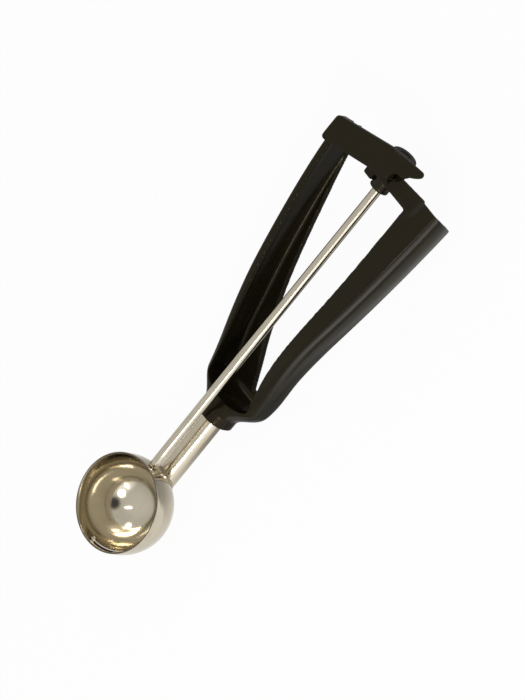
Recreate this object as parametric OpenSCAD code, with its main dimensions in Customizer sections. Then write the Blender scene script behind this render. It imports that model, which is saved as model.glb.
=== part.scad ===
// Squeeze-handle portion scoop: a polished bowl on a tube shank, a moulded wishbone handle,
// and a rack and pinion that turns a spindle and sweeps a blade round the bowl.
// Frame: +Y runs along the spindle from the bowl to the handle, +Z is up out of the bowl,
// +X points to the fixed leg. The origin is the centre of the bowl's ball, on the spindle axis.

/* [Bowl] */
// Outer radius of the bowl
bowl_r = 22.5; // [18:0.5:32]
// Sheet thickness of the bowl
bowl_wall = 0.9; // [0.6:0.1:1.4]
// Height of the straight band above the ball's centre
bowl_band = 4.5; // [1.5:0.1:5.5]

/* [Sweeper blade] */
// Width of the blade strip
blade_w = 3.8; // [2.6:0.1:3.8]
// Thickness of the blade strip
blade_t = 0.6; // [0.4:0.1:0.8]
// Running gap between the blade and the bowl
blade_gap = 0.4; // [0.2:0.05:0.8]
// How far the resting blade lies below the spindle's level, in degrees
blade_tilt = 7; // [6:0.5:12]

/* [Spindle] */
// Radius of the spindle rod
rod_r = 2.3; // [1.7:0.1:2.6]
// Radius of the turned-down ends that pass through the bowl wall
journal_r = 1.2; // [0.8:0.1:1.4]
// Running clearance round the rod and its journals
run_gap = 0.08; // [0.04:0.01:0.1]
// How far the far pivot stands out of the bowl
pivot_out = 1.3; // [0.6:0.1:2]

/* [Shank] */
// Outer radius of the shank tube
tube_r = 5.25; // [4:0.25:6]
// Wall thickness of the shank tube
tube_wall = 1; // [0.8:0.1:1.5]
// Distance of the shank's axis below the spindle
tube_drop = 14; // [12.5:0.5:15]
// Height of the weld fillet round the shank's foot
weld_h = 1.2; // [0.6:0.1:1.6]

/* [Handle] */
// Place along the spindle where the neck begins
neck_y = 54; // [48:0.5:62]
// Depth of the socket that holds the shank
socket_depth = 7.5; // [5:0.5:8]
// Radius of the round neck collar
neck_r = 8.75; // [8:0.25:10]
// Length of the handle from the neck to the arm's underside
handle_len = 142; // [125:1:160]
// Half width across the handle at its mouth
mouth_half = 35; // [32:0.5:38]
// Half width across the handle at its shoulder
shoulder_half = 18.4; // [16.4:0.2:19]
// Wall thickness of the moulding
wall = 3; // [2.4:0.1:3.4]
// Thickness of the flanges
flange_t = 2.6; // [2:0.1:3]
// Width of the fixed leg's front flange at the mouth
flange_w = 15; // [12:0.5:17]
// Width of the moving leg's rear flange at the shoulder
rear_flange_w = 17.6; // [15:0.2:17.8]
// Height of the handle's front above the spindle at the mouth
front_z = 5.8; // [4.8:0.1:6.4]
// Depth of the handle's back below the spindle at the mouth
back_z = 12.3; // [10:0.1:15]
// Depth of the handle's back below the spindle at the shoulder
heel_z = 24; // [23.4:0.1:26]
// Depth of the grip groove along the outside of each leg
groove = 0.5; // [0.2:0.1:0.8]

/* [Arm] */
// Height of the arm's front plate
arm_h = 10; // [9.4:0.1:12]
// Thickness of the arm's front plate and of its floor
arm_t = 2.8; // [2.2:0.1:3.2]
// Outer radius of the bearing collar under the arm
collar_r = 4.65; // [3.8:0.05:5]
// How far the bearing collar reaches below the arm
collar_h = 5.5; // [3:0.5:8]

/* [Rack and pinion] */
// Tooth module
tooth_m = 1; // [0.9:0.02:1.04]
// Teeth on the pinion
pinion_teeth = 11; // [11:1:12]
// Length of the pinion's toothed face
pinion_face = 8; // [7:0.5:9]
// Radius of the round cap on top of the pinion
cap_r = 6.4; // [5:0.1:6.5]
// Thickness of the pinion's cap
cap_h = 2.8; // [2:0.1:4]
// Thinning of every tooth flank for free running
flank_gap = 0.2; // [0.16:0.01:0.26]

/* [Squeeze bar] */
// Height of the bar across the top
bar_h = 13.4; // [13:0.1:15]
// Thickness of the bar's face over the rack
bar_t = 2.2; // [2:0.1:3.4]
// Slope of the bar's lower edge, in degrees
bar_tilt = 17.5; // [16:0.5:19]
// How much steeper the bar's upper edge is, in degrees
bar_taper = 1.5; // [0:0.5:2]
// Length of the thin stop tab at the bar's free end
tab_len = 13.5; // [8:0.5:15]

/* [Hidden] */
$fn = 96;

// Hair's breadth left between pressed and welded pieces of one body
seat_gap = 0.02;
// Clear space between moving mouldings
move_gap = 0.3;
// Longer than anything it cuts
far = 400;

// Bowl and blade
bowl_in = bowl_r - bowl_wall;
blade_out = bowl_in - blade_gap;
blade_in = blade_out - blade_t;
ear_r = blade_w / 2;

// Shank
tube_z = -tube_drop;
tube_end = neck_y + socket_depth;
weld_r = tube_r + weld_h;

// Places along the handle
flare_y = neck_y + 4;
hinge_y = neck_y + 8;
crotch_y = neck_y + 11;
bend_y = neck_y + 16;
heel_gap_y = neck_y + 19.5;
shoulder_y = neck_y + 20;
calf_y = neck_y + 27;
flank_y = neck_y + 36;
palm_y = neck_y + handle_len * 0.465;
grip_y = neck_y + handle_len * 0.64;
knee_y = neck_y + handle_len * 0.87;
arm_y = neck_y + handle_len;
arm_top = arm_y + arm_h;
leg_top = arm_top + 4;

// How far the bend of the moving leg reaches from the hinge line, and past the middle
hinge_r = 19;
web_x = 2;

// Rack and pinion
pitch_r = tooth_m * pinion_teeth / 2;
root_r = pitch_r - 1.25 * tooth_m;
tip_r = pitch_r + 0.9 * tooth_m;
washer_t = 0.8;
washer_y = arm_y + arm_t + 0.1;
pinion_y = washer_y + washer_t + 0.1;
cap_y = pinion_y + pinion_face;
rack_in = pinion_y + 1.1 - hinge_y;
rack_out = cap_y - 0.9 - hinge_y;
rack_mid = (rack_in + rack_out) / 2;
rack_step = 180 * tooth_m / rack_mid;
rack_first = -8;
rack_last = 1;
rack_root_z = pitch_r + 1.3 * tooth_m;
rack_tip_z = pitch_r - 0.85 * tooth_m;
rack_base_t = 0.8;
slot_half = tip_r + 0.8;
guard_x = slot_half + 1.3;
channel_z = rack_tip_z - 0.45;
bearing_r = rod_r + 1.2;
blade_sweep = 180 - 2 * blade_tilt;
lever_travel = blade_sweep * pitch_r / rack_mid;
pocket_angle = (0.9 - rack_first) * rack_step;

// Squeeze bar
bar_back = rack_root_z + rack_base_t;
bar_front = bar_back + bar_t;
bar_end = slot_half - 1.7;
bar_drop = 8.1;
bar_foot = arm_y - bar_drop;
skirt_z = front_z + move_gap;

// Value at y of a smooth curve through knots, each [place, value, slope]
function span(k, y, i = 0) = i >= len(k) - 2 || y < k[i + 1][0] ? i : span(k, y, i + 1);
function ease(p, q, h, t) = p[1] * (1 + 2 * t) * pow(1 - t, 2) + h * p[2] * t * pow(1 - t, 2)
    + q[1] * t * t * (3 - 2 * t) + h * q[2] * t * t * (t - 1);
function curve(k, y) = let (i = span(k, y), h = k[i + 1][0] - k[i][0])
    ease(k[i], k[i + 1], h, (y - k[i][0]) / h);

// Outer half width of the wishbone
half_knots = [[neck_y, neck_r, 0], [flare_y, neck_r, 0],
    [crotch_y, neck_r * 0.38 + shoulder_half * 0.62, 1.1],
    [bend_y, shoulder_half - 0.5, 0.18], [shoulder_y, shoulder_half, 0.12],
    [flank_y, shoulder_half + 1.6, 0.1], [palm_y, shoulder_half * 0.63 + mouth_half * 0.37, 0.19],
    [arm_y, mouth_half, 0.075], [leg_top, mouth_half + 1, 0.075]];
function half_w(y) = curve(half_knots, y);
function inner_w(y) = half_w(y) - wall;

// Level of the front and of the back of the wishbone
front_knots = [[neck_y, neck_r + tube_z, 0], [crotch_y, neck_r + tube_z - 1.4, -0.05],
    [shoulder_y, neck_r + tube_z - 1, 0.13], [flank_y, front_z - 8.6, 0.26], [palm_y, front_z - 2.8, 0.09],
    [grip_y, front_z - 1.4, 0.05], [knee_y + 9, front_z, 0], [leg_top, front_z, 0]];
back_knots = [[neck_y, tube_z - neck_r, 0], [flare_y, tube_z - neck_r, 0], [shoulder_y - 1, -heel_z, 0.1],
    [calf_y, -back_z - 10.1, 0.31], [flank_y, -back_z - 7.2, 0.32], [flank_y + 12, -back_z - 4.7, 0.14],
    [grip_y, -back_z - 1.2, 0.05], [knee_y + 9, -back_z, 0], [leg_top, -back_z, 0]];
function front(y) = curve(front_knots, y);
function back(y) = curve(back_knots, y);

// Corner radius of the section: round at the neck, tight along the grip
least_flat = 0.75;
corner_knots = [[neck_y, neck_r, 0], [flare_y, neck_r, 0], [bend_y, 6.4, -0.2], [calf_y, 4.4, -0.16],
    [flank_y + 6, 2.4, -0.08], [palm_y, 1.4, 0], [leg_top, 1.2, 0]];
function corner(y) = min(curve(corner_knots, y), (front(y) - back(y)) / 2 - least_flat,
    half_w(y) - least_flat);

// Widths of the fixed leg's front flange and of the moving leg's rear flange
least_lip = wall + 0.8;
lip_knots = [[heel_gap_y, least_lip, 0.2], [flank_y, flange_w * 0.43, 0.08], [palm_y, flange_w * 0.55, 0.09],
    [arm_y, flange_w, 0.09], [leg_top, flange_w, 0]];
rear_knots = [[heel_gap_y, rear_flange_w + 0.2, -0.05], [calf_y, rear_flange_w, -0.04],
    [flank_y + 7.4, rear_flange_w - 2.6, -0.22], [palm_y + 2.5, rear_flange_w - 7, -0.12],
    [grip_y + 15, rear_flange_w - 10.8, -0.11], [knee_y + 6, least_lip, -0.13],
    [knee_y + 12, wall + 0.2, 0], [leg_top, wall + 0.2, 0]];
function front_lip(y) = y < heel_gap_y ? least_lip : curve(lip_knots, y);
function rear_lip(y) = curve(rear_knots, y);

// Half width of the space between the legs, rounded at the foot of the crotch
crotch_r = bend_y - crotch_y;
function crotch_w(y) = inner_w(y)
    * (y >= bend_y ? 1 : sqrt(max(0.003, 1 - pow((bend_y - y) / crotch_r, 2))));

// Thickness of the moulding behind the crotch's steep floor, then of the flanges
floor_knots = [[crotch_y, tube_z + neck_r - 2, -6], [heel_gap_y, -heel_z - 0.4, -0.8]];
function rear_t(y) = y > heel_gap_y ? flange_t
    : max(flange_t, curve(floor_knots, max(y, crotch_y)) - back(y));
function front_t(y) = min(flange_t, (front(y) - back(y) - rear_t(y)) / 2);

// Stations from y0 to y1, and points round a circle
function steps(y0, y1, n) = [for (i = [0:n]) y0 + (y1 - y0) * i / n];
function arc(cx, cy, r, a0, a1, n) = [for (i = [0:n]) let (a = a0 + (a1 - a0) * i / n)
    [cx + r * cos(a), cy + r * sin(a)]];

// Angle on the rounded corner at distance d from the side, and the fall of the face there
function turn(y, d) = let (r = corner(y)) d >= r ? 90 : acos((r - d) / r);
function drop(y, d) = corner(y) * (1 - sin(turn(y, d)));

// Outer side of the section, from df along the front face round to db along the back,
// with the grip groove and the swell below it
arc_n = 5;
flank_us = [0.15, 0.3, 0.36, 0.42, 0.55, 0.7, 0.85];
function flank_x(u, y) = let (k = max(0, min(1, (y - shoulder_y) / (palm_y - shoulder_y))))
    k * groove * (u < 0.33 ? 0 : u < 0.4 ? -1 : 1.2 * sin(180 * (u - 0.42) / 0.58));
function side_pts(y, df, db) = let (r = corner(y), w = half_w(y), f = front(y), b = back(y))
    concat(arc(w - r, f - r, r, turn(y, df), 0, arc_n),
        [for (u = flank_us) [w + flank_x(u, y), f - r - u * (f - b - 2 * r)]],
        arc(w - r, b + r, r, 0, -turn(y, db), arc_n));
side_n = 2 * arc_n + 2 + len(flank_us);
side_mid = arc_n + 5;

// Closed solid through rows of [x, z] points, one row at each of ys, with the triangles of its first end
module skin(ys, rows, cap) {
    n = len(rows[0]);
    top = n * (len(ys) - 1);
    points = [for (i = [0:len(ys) - 1]) for (p = rows[i]) [p[0], ys[i], p[1]]];
    sides = [for (i = [0:len(ys) - 2]) for (j = [0:n - 1])
        let (a = i * n + j, b = i * n + (j + 1) % n) each [[a, b + n, b], [a, a + n, b + n]]];
    head = [for (t = cap) [t[0] + top, t[1] + top, t[2] + top]];
    foot = [for (t = cap) [t[2], t[1], t[0]]];
    polyhedron(points, concat(sides, foot, head), convexity = 6);
}

// Solid neck, a hair proud of the legs that grow out of it
neck_proud = 0.05;
function neck_row(y) = let (k = 1 + neck_proud / half_w(y), z = (front(y) + back(y)) / 2,
    g = [for (p = side_pts(y, far, far)) [p[0] * k, z + (p[1] - z) * k]])
    concat(g, [for (i = [len(g) - 1:-1:0]) [-g[i][0], g[i][1]]]);
module neck() {
    ys = concat([neck_y], steps(flare_y, crotch_y, 5));
    m = 2 * side_n - 1;
    cap = [for (i = [0:side_n - 2]) each [[i, m - i, i + 1], [i + 1, m - i, m - i - 1]]];
    skin(ys, [for (y = ys) neck_row(y)], cap);
}

// Leg of channel section on the +X side, through stations of [y, front flange, rear flange]
flange_edge = 0.1;
function leg_row(y, fw, rw) = let (w = half_w(y), i = max(crotch_w(y), w - rw + 2 * flange_edge),
    lip = max(fw, w - i + flange_edge), zf = front(y) - front_t(y), zb = back(y) + rear_t(y))
    concat(side_pts(y, lip - flange_edge, rw - flange_edge),
        [[w - rw, back(y) + drop(y, rw)], [w - rw, zb], [i, zb],
        [i, zf], [w - lip, zf], [w - lip, front(y) - drop(y, lip)]]);
module leg(stations) {
    n = side_n + 6;
    cap = concat([[n - 1, n - 2, 0], [0, n - 2, n - 3]],
        [for (j = [0:side_mid - 1]) [j, n - 3, j + 1]], [[side_mid, n - 3, n - 4]],
        [for (j = [side_mid:side_n - 2]) [j, n - 4, j + 1]],
        [[side_n - 1, n - 4, n - 5], [side_n - 1, n - 5, n - 6]]);
    skin([for (s = stations) s[0]], [for (s = stations) leg_row(s[0], s[1], s[2])], cap);
}

// Prism over a plan outline, and prism over a side outline of [y, z] points
module plan(z0, z1) translate([0, 0, z0]) linear_extrude(z1 - z0) children();
module profile(x0, x1) translate([x0, 0, 0]) rotate([90, 0, 90]) linear_extrude(x1 - x0) children();

// Point at t on a bend from a to c that leans to b
function bend3(a, b, c, t) = a * pow(1 - t, 2) + b * 2 * t * (1 - t) + c * t * t;

// Everything above a plane that starts at y on the front and falls to the back
module above(y, fall) profile(-far, far) polygon([[y + far * fall, front_z + far],
    [y - far * fall, front_z - far], [2 * far, -far], [2 * far, far]]);

// Fixed leg, up to the top of the arm
foot_ys = concat([crotch_y - 0.5], steps(crotch_y + 0.2, bend_y, 6), steps(bend_y + 1.2, heel_gap_y, 3));
calf_ys = concat(steps(heel_gap_y + 2, calf_y, 2), steps(calf_y + 3, palm_y, 7),
    steps(palm_y + 8, grip_y, 3));
gap_step = 0.2;
module fixed_leg() {
    ys = concat([heel_gap_y + gap_step], calf_ys, steps(grip_y + 9, knee_y + 9, 4), [arm_y, leg_top]);
    foot = [for (y = foot_ys) [y, 0, half_w(y) - web_x]];
    leg(concat(foot, [for (y = ys) [y, front_lip(y), least_lip]]));
}

// Moving leg from the foot of the crotch or from partway up its bend
module moving_leg(from_y, to_y) {
    ys = concat(foot_ys, calf_ys, steps(grip_y + 9, knee_y - 1, 3), steps(knee_y + 2, knee_y + 12, 3));
    kept = concat([for (y = ys) if (y > from_y && y < to_y) y], [to_y]);
    mirror([1, 0, 0]) leg([for (y = kept) let (web = half_w(y) + web_x - seat_gap)
        [y, least_lip, y > heel_gap_y - seat_gap ? min(rear_lip(y), web) : web]]);
}

// Round bar along Y between two places
module along(r, y0, y1, z = 0) translate([0, y0, z]) rotate([-90, 0, 0]) cylinder(r = r, h = y1 - y0);
// Box from one corner to the other
module box(a, b) translate(a) cube(b - a);
// Round prism about the hinge line of the moving leg
module about_hinge(r) translate([0, hinge_y, -far]) cylinder(r = r, h = 2 * far);

module bowl() {
    color("silver") difference() {
        union() {
            difference() {
                sphere(bowl_r);
                box([-far, -far, 0], [far, far, far]);
            }
            cylinder(r = bowl_r, h = bowl_band);
        }
        sphere(bowl_in);
        cylinder(r = bowl_in, h = far);
        along(journal_r + run_gap, -far / 2, far / 2);
    }
}

module shank_tube() {
    color("silver") difference() {
        along(tube_r, 0, tube_end, tube_z);
        along(tube_r - tube_wall, -1, tube_end + 1, tube_z);
        sphere(bowl_r + seat_gap);
    }
}

// Fillet of weld between the ball of the bowl and the tube
module shank_weld() {
    color("gray") intersection() {
        difference() {
            sphere(bowl_r + weld_h);
            sphere(bowl_r + seat_gap);
        }
        difference() {
            along(weld_r, 1, bowl_r + weld_h, tube_z);
            along(tube_r + seat_gap, 0, far, tube_z);
        }
    }
}

// Front plate of the arm, with a rounded inner corner and the guard that hangs from its free end
guard_w = 5.6;
guard_h = 3.5;
arm_fillet = 1.2;
arm_lean = 3.2;
flush = 0.02;
module arm_plan() let (x = half_w(arm_y) - flange_w, y = arm_y - guard_h) polygon(concat(
    [for (i = [0:4]) bend3([x - arm_fillet, arm_y], [x, arm_y], [x + 0.5, arm_y - arm_fillet], i / 4)],
    [[x + 5, arm_y - arm_fillet], [x + 5, arm_top - flush]],
    arc(1 - guard_x, arm_top - arm_lean - 1, 1, 90, 180, 4), arc(1 - guard_x, y + 1, 1, 180, 270, 4),
    [[guard_w - guard_x, y], [guard_w - guard_x, arm_y]]));
module arm() {
    plan(front_z - arm_t, front_z - flush) arm_plan();
    root_x = inner_w(arm_y) + 0.6;
    box([0.3 - guard_x, arm_y + flush, -slot_half], [root_x, arm_y + arm_t, front_z - 1]);
    box([root_x - 8.6, arm_y + 2 * flush, 2 - back_z], [root_x, arm_y + arm_t - flush, 0]);
}

module handle_frame() {
    color([0.09, 0.085, 0.08]) difference() {
        union() {
            neck();
            difference() {
                fixed_leg();
                above(arm_top + 0.1, 0.4);
            }
            arm();
        }
        along(tube_r + seat_gap, neck_y - 1, tube_end + seat_gap, tube_z);
        box([-slot_half, arm_y + arm_t, -far], [slot_half, far, far]);
        along(bearing_r, arm_y - 1, arm_y + arm_t + 1);
        along(collar_r + seat_gap, arm_y - collar_h - 1, arm_y - seat_gap);
        translate([0, hinge_y, channel_z]) intersection() {
            difference() {
                cylinder(r = rack_out + 0.5, h = far);
                cylinder(r = rack_in - 0.5, h = far, center = true);
            }
            box([-far, 0, -1], [bar_end + rack_mid * sin(lever_travel) + 1.5, far, far]);
        }
    }
}

module arm_bearing() {
    color([0.07, 0.07, 0.07]) difference() {
        union() {
            along(collar_r, arm_y - collar_h, arm_y - seat_gap);
            along(bearing_r - seat_gap, arm_y - collar_h, arm_y + arm_t);
        }
        along(rod_r + run_gap, arm_y - collar_h - 1, arm_y + arm_t + 1);
    }
}

module flex_web() {
    color([0.1, 0.09, 0.08]) intersection() {
        moving_leg(crotch_y + seat_gap, hinge_y + hinge_r + 2);
        about_hinge(hinge_r);
        box([-far, crotch_y + seat_gap, -far], [web_x + 1, far, far]);
    }
}

// Lower and upper edge of the squeeze bar, and its outline seen from the front
function bar_low(x) = bar_foot + (x + mouth_half) * tan(bar_tilt);
function bar_high(x) = bar_foot + bar_h + (x + mouth_half) * tan(bar_tilt + bar_taper);
bar_left = 0.6 - mouth_half;
bar_round = 2;
module bar_plan() polygon(concat(
    [[bar_end, bar_low(bar_end)], [bar_end, bar_high(horn_x)], [horn_x, bar_high(horn_x)]],
    arc(bar_left + bar_round, bar_high(bar_left) - bar_round + 0.5, bar_round, 90 + bar_tilt, 180, 4),
    arc(bar_left + bar_round - 0.9, bar_low(bar_left) + bar_round - 0.2, bar_round, 180, 270 + bar_tilt, 4)));

// Stop tab that grows out of the bar's end like a horn
horn_x = bar_end - 8.3;
tab_x = bar_end + tab_len;
tab_y = bar_high(horn_x);
tab_r = 1.5;
module tab_plan() polygon(concat([[horn_x, tab_y]], arc(tab_x - tab_r, tab_y + 1.9, tab_r, 100, -30, 5),
    [for (t = [0:0.2:1])
        bend3([tab_x - 0.2, tab_y + 0.9], [bar_end + 8, tab_y - 5.4], [bar_end - 1, tab_y - 5.8], t)]));

module squeeze_lever() {
    color([0.09, 0.085, 0.08]) {
        difference() {
            moving_leg(bend_y, bar_foot + bar_h - 0.8);
            about_hinge(hinge_r + move_gap);
            above(bar_foot + bar_h - 2, 0.24);
        }
        difference() {
            union() {
                plan(skirt_z, bar_front) bar_plan();
                plan(front_z - 1, bar_front) intersection() {
                    bar_plan();
                    translate([-mouth_half - 1, 0]) square([wall + 6, far]);
                }
                plan(bar_back - 1, bar_front - 1) tab_plan();
            }
            translate([0, hinge_y, 0]) intersection() {
                difference() {
                    cylinder(r = far, h = bar_back);
                    cylinder(r = rack_in - 1.4, h = far, center = true);
                }
                rotate(pocket_angle) box([0, 0, -1], [far, far, far]);
            }
        }
    }
}

// Half width of a tooth on its pitch line
half_tooth = tooth_m * PI / 4 - flank_gap;
// Straight-flanked tooth, narrowing from half width a at height 0 to b at height h
module tooth(a, b, h) polygon([[-a, 0], [a, 0], [b, h], [-b, h]]);

module gear_rack() {
    color("dimgray") translate([0, hinge_y, 0]) {
        for (k = [rack_first:rack_last])
            rotate(-(k + 0.5) * rack_step) translate([0, rack_out, 0]) rotate([90, 0, 0])
                linear_extrude(rack_out - rack_in) translate([0, rack_root_z + 0.1]) mirror([0, 1])
                    tooth(half_tooth + 0.47, half_tooth - 0.31, rack_root_z + 0.1 - rack_tip_z);
        intersection() {
            difference() {
                cylinder(r = rack_out, h = bar_back - seat_gap);
                cylinder(r = rack_in, h = far, center = true);
            }
            rotate(-(rack_last + 1) * rack_step) box([-far, 0, rack_root_z], [0, far, far]);
            rotate(-rack_first * rack_step) box([0, 0, rack_root_z], [far, far, far]);
        }
    }
}

module spindle_rod() {
    color("silver") {
        along(journal_r, blade_in, bowl_r + 1.5);
        along(rod_r, bowl_r + move_gap, cap_y + cap_h - 1.2);
    }
}

module pinion() {
    color([0.1, 0.1, 0.1]) difference() {
        union() {
            along(root_r, pinion_y, cap_y);
            along(cap_r, cap_y - 0.01, cap_y + cap_h);
            for (i = [0:pinion_teeth - 1])
                rotate([0, 360 / pinion_teeth * i, 0]) translate([0, pinion_y, 0])
                    rotate([-90, 180, 0]) linear_extrude(pinion_face) translate([0, root_r - 0.15])
                        tooth(half_tooth + 0.3, half_tooth - 0.32, tip_r - root_r + 0.15);
        }
        along(rod_r + seat_gap, pinion_y - 1, cap_y + cap_h - 1.2 + seat_gap);
    }
}

module thrust_washer() {
    color("gainsboro") difference() {
        along(root_r, washer_y, washer_y + washer_t);
        along(rod_r + run_gap, washer_y - 1, washer_y + washer_t + 1);
    }
}

module sweeper_blade() {
    color("lightgray") rotate([0, blade_tilt, 0]) difference() {
        intersection() {
            sphere(blade_out);
            union() {
                box([0, -far / 2, -ear_r], [far, far / 2, ear_r]);
                along(ear_r, -bowl_r, bowl_r);
            }
        }
        sphere(blade_in);
        along(journal_r + seat_gap, -far / 2, far / 2);
    }
}

module far_pivot() {
    color("silver") along(journal_r, -bowl_r - pivot_out, -blade_in + 0.8);
}

bowl();
shank_tube();
shank_weld();
handle_frame();
flex_web();
arm_bearing();
squeeze_lever();
gear_rack();
spindle_rod();
pinion();
thrust_washer();
sweeper_blade();
far_pivot();
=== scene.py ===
# %% [markdown]
# # A squeeze-handle portion scoop
# A steel half ball takes the food, a thin blade sweeps it clean, and a wishbone handle of black
# moulding drives the blade through a rack and pinion. We dress the CAD solids, one piece at a time,
# and keep every size they have. Lengths are written in millimetres and turned into metres last.

# %% Load the frame
import bmesh
import bpy
import math
from mathutils import Matrix, Vector


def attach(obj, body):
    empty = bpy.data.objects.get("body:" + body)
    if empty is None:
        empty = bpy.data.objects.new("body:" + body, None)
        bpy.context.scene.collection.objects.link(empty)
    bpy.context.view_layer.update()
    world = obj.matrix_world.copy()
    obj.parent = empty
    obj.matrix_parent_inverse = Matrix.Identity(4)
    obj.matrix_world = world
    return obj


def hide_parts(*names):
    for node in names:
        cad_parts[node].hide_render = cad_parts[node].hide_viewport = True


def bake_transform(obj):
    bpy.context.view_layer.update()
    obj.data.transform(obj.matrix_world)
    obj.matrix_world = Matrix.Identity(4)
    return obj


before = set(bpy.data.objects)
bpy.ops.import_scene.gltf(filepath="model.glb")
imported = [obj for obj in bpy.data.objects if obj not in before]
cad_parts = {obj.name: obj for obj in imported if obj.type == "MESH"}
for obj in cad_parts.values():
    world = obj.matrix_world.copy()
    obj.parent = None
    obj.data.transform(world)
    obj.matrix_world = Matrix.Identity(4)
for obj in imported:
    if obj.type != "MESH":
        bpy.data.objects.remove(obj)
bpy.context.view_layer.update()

scene = bpy.context.scene
MM = 0.001
print("nodes:", sorted(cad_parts))

# %% [markdown]
# ## Camera
# A product picture is taken from far away with a long lens, which keeps parallel edges parallel, so
# the camera has no perspective. It looks back along `toward`. `right` and `up` are the picture's axes.

# %% Camera
right = Vector((0.540, 0.586, -0.604)).normalized()
up = Vector((-0.686, 0.7226, 0.088)).normalized()
toward = right.cross(up).normalized()
up = toward.cross(right)
distance = 5.0
pixels_high, pixels_per_mm = 700, 2.29
frame_height = pixels_high / pixels_per_mm * MM
look_at = (right * 61.03 + up * 67.16 + toward * 35) * MM

camera = bpy.data.cameras.new("camera")
camera.sensor_fit = "AUTO"
camera.type = "ORTHO"
camera.ortho_scale = frame_height
camera.clip_start = 0.01
camera.clip_end = 20
camera_object = bpy.data.objects.new("camera", camera)
place = Matrix((right, up, toward)).transposed().to_4x4()
place.translation = look_at + toward * distance
camera_object.matrix_world = place
scene.collection.objects.link(camera_object)
scene.camera = camera_object
scene.view_settings.view_transform = "Standard"
print("frame height", round(frame_height / MM), "mm")

# %% [markdown]
# ## Node helpers
# Every finish below is a small network of nodes, so a few helpers do the wiring: they add a node and
# set its sockets, make and use a group, start a finish, and do sums and mixes.

# %% Node helpers
def add(tree, kind, links=None, settings=None, **values):
    node = tree.nodes.new(kind)
    for key, value in (settings or {}).items():
        setattr(node, key, value)
    for key, value in values.items():
        node.inputs[key.replace("_", " ")].default_value = value
    for key, socket in (links or {}).items():
        tree.links.new(socket, node.inputs[key])
    return node


def new_group(name, inputs, outputs):
    tree = bpy.data.node_groups.new(name, "ShaderNodeTree")
    for label, kind, value in inputs:
        socket = tree.interface.new_socket(label, in_out="INPUT", socket_type=kind)
        if value is not None:
            socket.default_value = value
    for label, kind in outputs:
        tree.interface.new_socket(label, in_out="OUTPUT", socket_type=kind)
    return tree, tree.nodes.new("NodeGroupInput").outputs, tree.nodes.new("NodeGroupOutput").inputs


def use_group(tree, group, links, **values):
    return add(tree, "ShaderNodeGroup", links, {"node_tree": group}, **values).outputs


def new_finish(name):
    made = bpy.data.materials.new(name)
    made.use_nodes = True
    return made, made.node_tree


def maths(tree, operation, first, second):
    return add(tree, "ShaderNodeMath", {0: first, 1: second}, {"operation": operation}).outputs[0]


def mix_colours(tree, share, first, second):
    """Mix two colours, each a tuple or the socket of another node."""
    mixed = add(tree, "ShaderNodeMix", {"Factor": share}, {"data_type": "RGBA"})
    for socket, colour in ((mixed.inputs[6], first), (mixed.inputs[7], second)):
        if isinstance(colour, tuple):
            socket.default_value = (*colour, 1)
        else:
            tree.links.new(colour, socket)
    return mixed.outputs[2]


FLOAT, VECTOR = "NodeSocketFloat", "NodeSocketVector"

# %% [markdown]
# ## Shared effects
# Three things happen to almost every surface here. Drawing and polishing leave fine lines, handling
# leaves a haze of duller patches, and a mould leaves a faint skin. Each is a group, built once.
# A group puts out numbers and colours only; the shader itself stays in the material.

# %% Group: lines left by drawing, turning or polishing
lines_group, given, out = new_group(
    "Tool lines",
    [("Vector", VECTOR, None), ("Stretch", VECTOR, (1000, 1000, 1000)), ("Depth", FLOAT, 0.1)],
    [("Height", FLOAT), ("Tone", FLOAT)])
stretched = add(lines_group, "ShaderNodeVectorMath", {0: given["Vector"], 1: given["Stretch"]},
                {"operation": "MULTIPLY"})
lines = add(lines_group, "ShaderNodeTexNoise", {"Vector": stretched.outputs[0]},
            Scale=1.0, Detail=4.0, Roughness=0.65)
spread = add(lines_group, "ShaderNodeMapRange", {"Value": lines.outputs["Fac"]},
             From_Min=0.3, From_Max=0.7)
depth = maths(lines_group, "MULTIPLY", spread.outputs[0], given["Depth"])
lines_group.links.new(depth, out["Height"])
lines_group.links.new(spread.outputs[0], out["Tone"])

# %% Group: haze of handling, as a roughness between two values
haze_group, given, out = new_group(
    "Handling haze",
    [("Vector", VECTOR, None), ("Size", FLOAT, 90.0), ("Clean", FLOAT, 0.1), ("Dull", FLOAT, 0.2)],
    [("Roughness", FLOAT), ("Mask", FLOAT)])
patches = add(haze_group, "ShaderNodeTexNoise", {"Vector": given["Vector"], "Scale": given["Size"]},
              Detail=5.0, Roughness=0.6, Distortion=0.6)
mask = add(haze_group, "ShaderNodeMapRange", {"Value": patches.outputs["Fac"]},
           From_Min=0.4, From_Max=0.68)
level = add(haze_group, "ShaderNodeMapRange",
            {"Value": mask.outputs[0], "To Min": given["Clean"], "To Max": given["Dull"]})
haze_group.links.new(level.outputs[0], out["Roughness"])
haze_group.links.new(mask.outputs[0], out["Mask"])

# %% Group: faint skin that a steel mould leaves on plastic
skin_group, given, out = new_group(
    "Moulded skin",
    [("Vector", VECTOR, None), ("Grain", FLOAT, 1800.0), ("Depth", FLOAT, 0.1),
     ("Flow", FLOAT, 60.0)],
    [("Height", FLOAT), ("Mottle", FLOAT)])
grain = add(skin_group, "ShaderNodeTexNoise", {"Vector": given["Vector"], "Scale": given["Grain"]},
            Detail=3.0, Roughness=0.55)
flow = add(skin_group, "ShaderNodeTexNoise", {"Vector": given["Vector"], "Scale": given["Flow"]},
           Detail=4.0, Roughness=0.6, Distortion=1.2)
height = maths(skin_group, "MULTIPLY", grain.outputs["Fac"], given["Depth"])
skin_group.links.new(height, out["Height"])
skin_group.links.new(flow.outputs["Fac"], out["Mottle"])
print("groups:", [g.name for g in bpy.data.node_groups])

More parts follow.
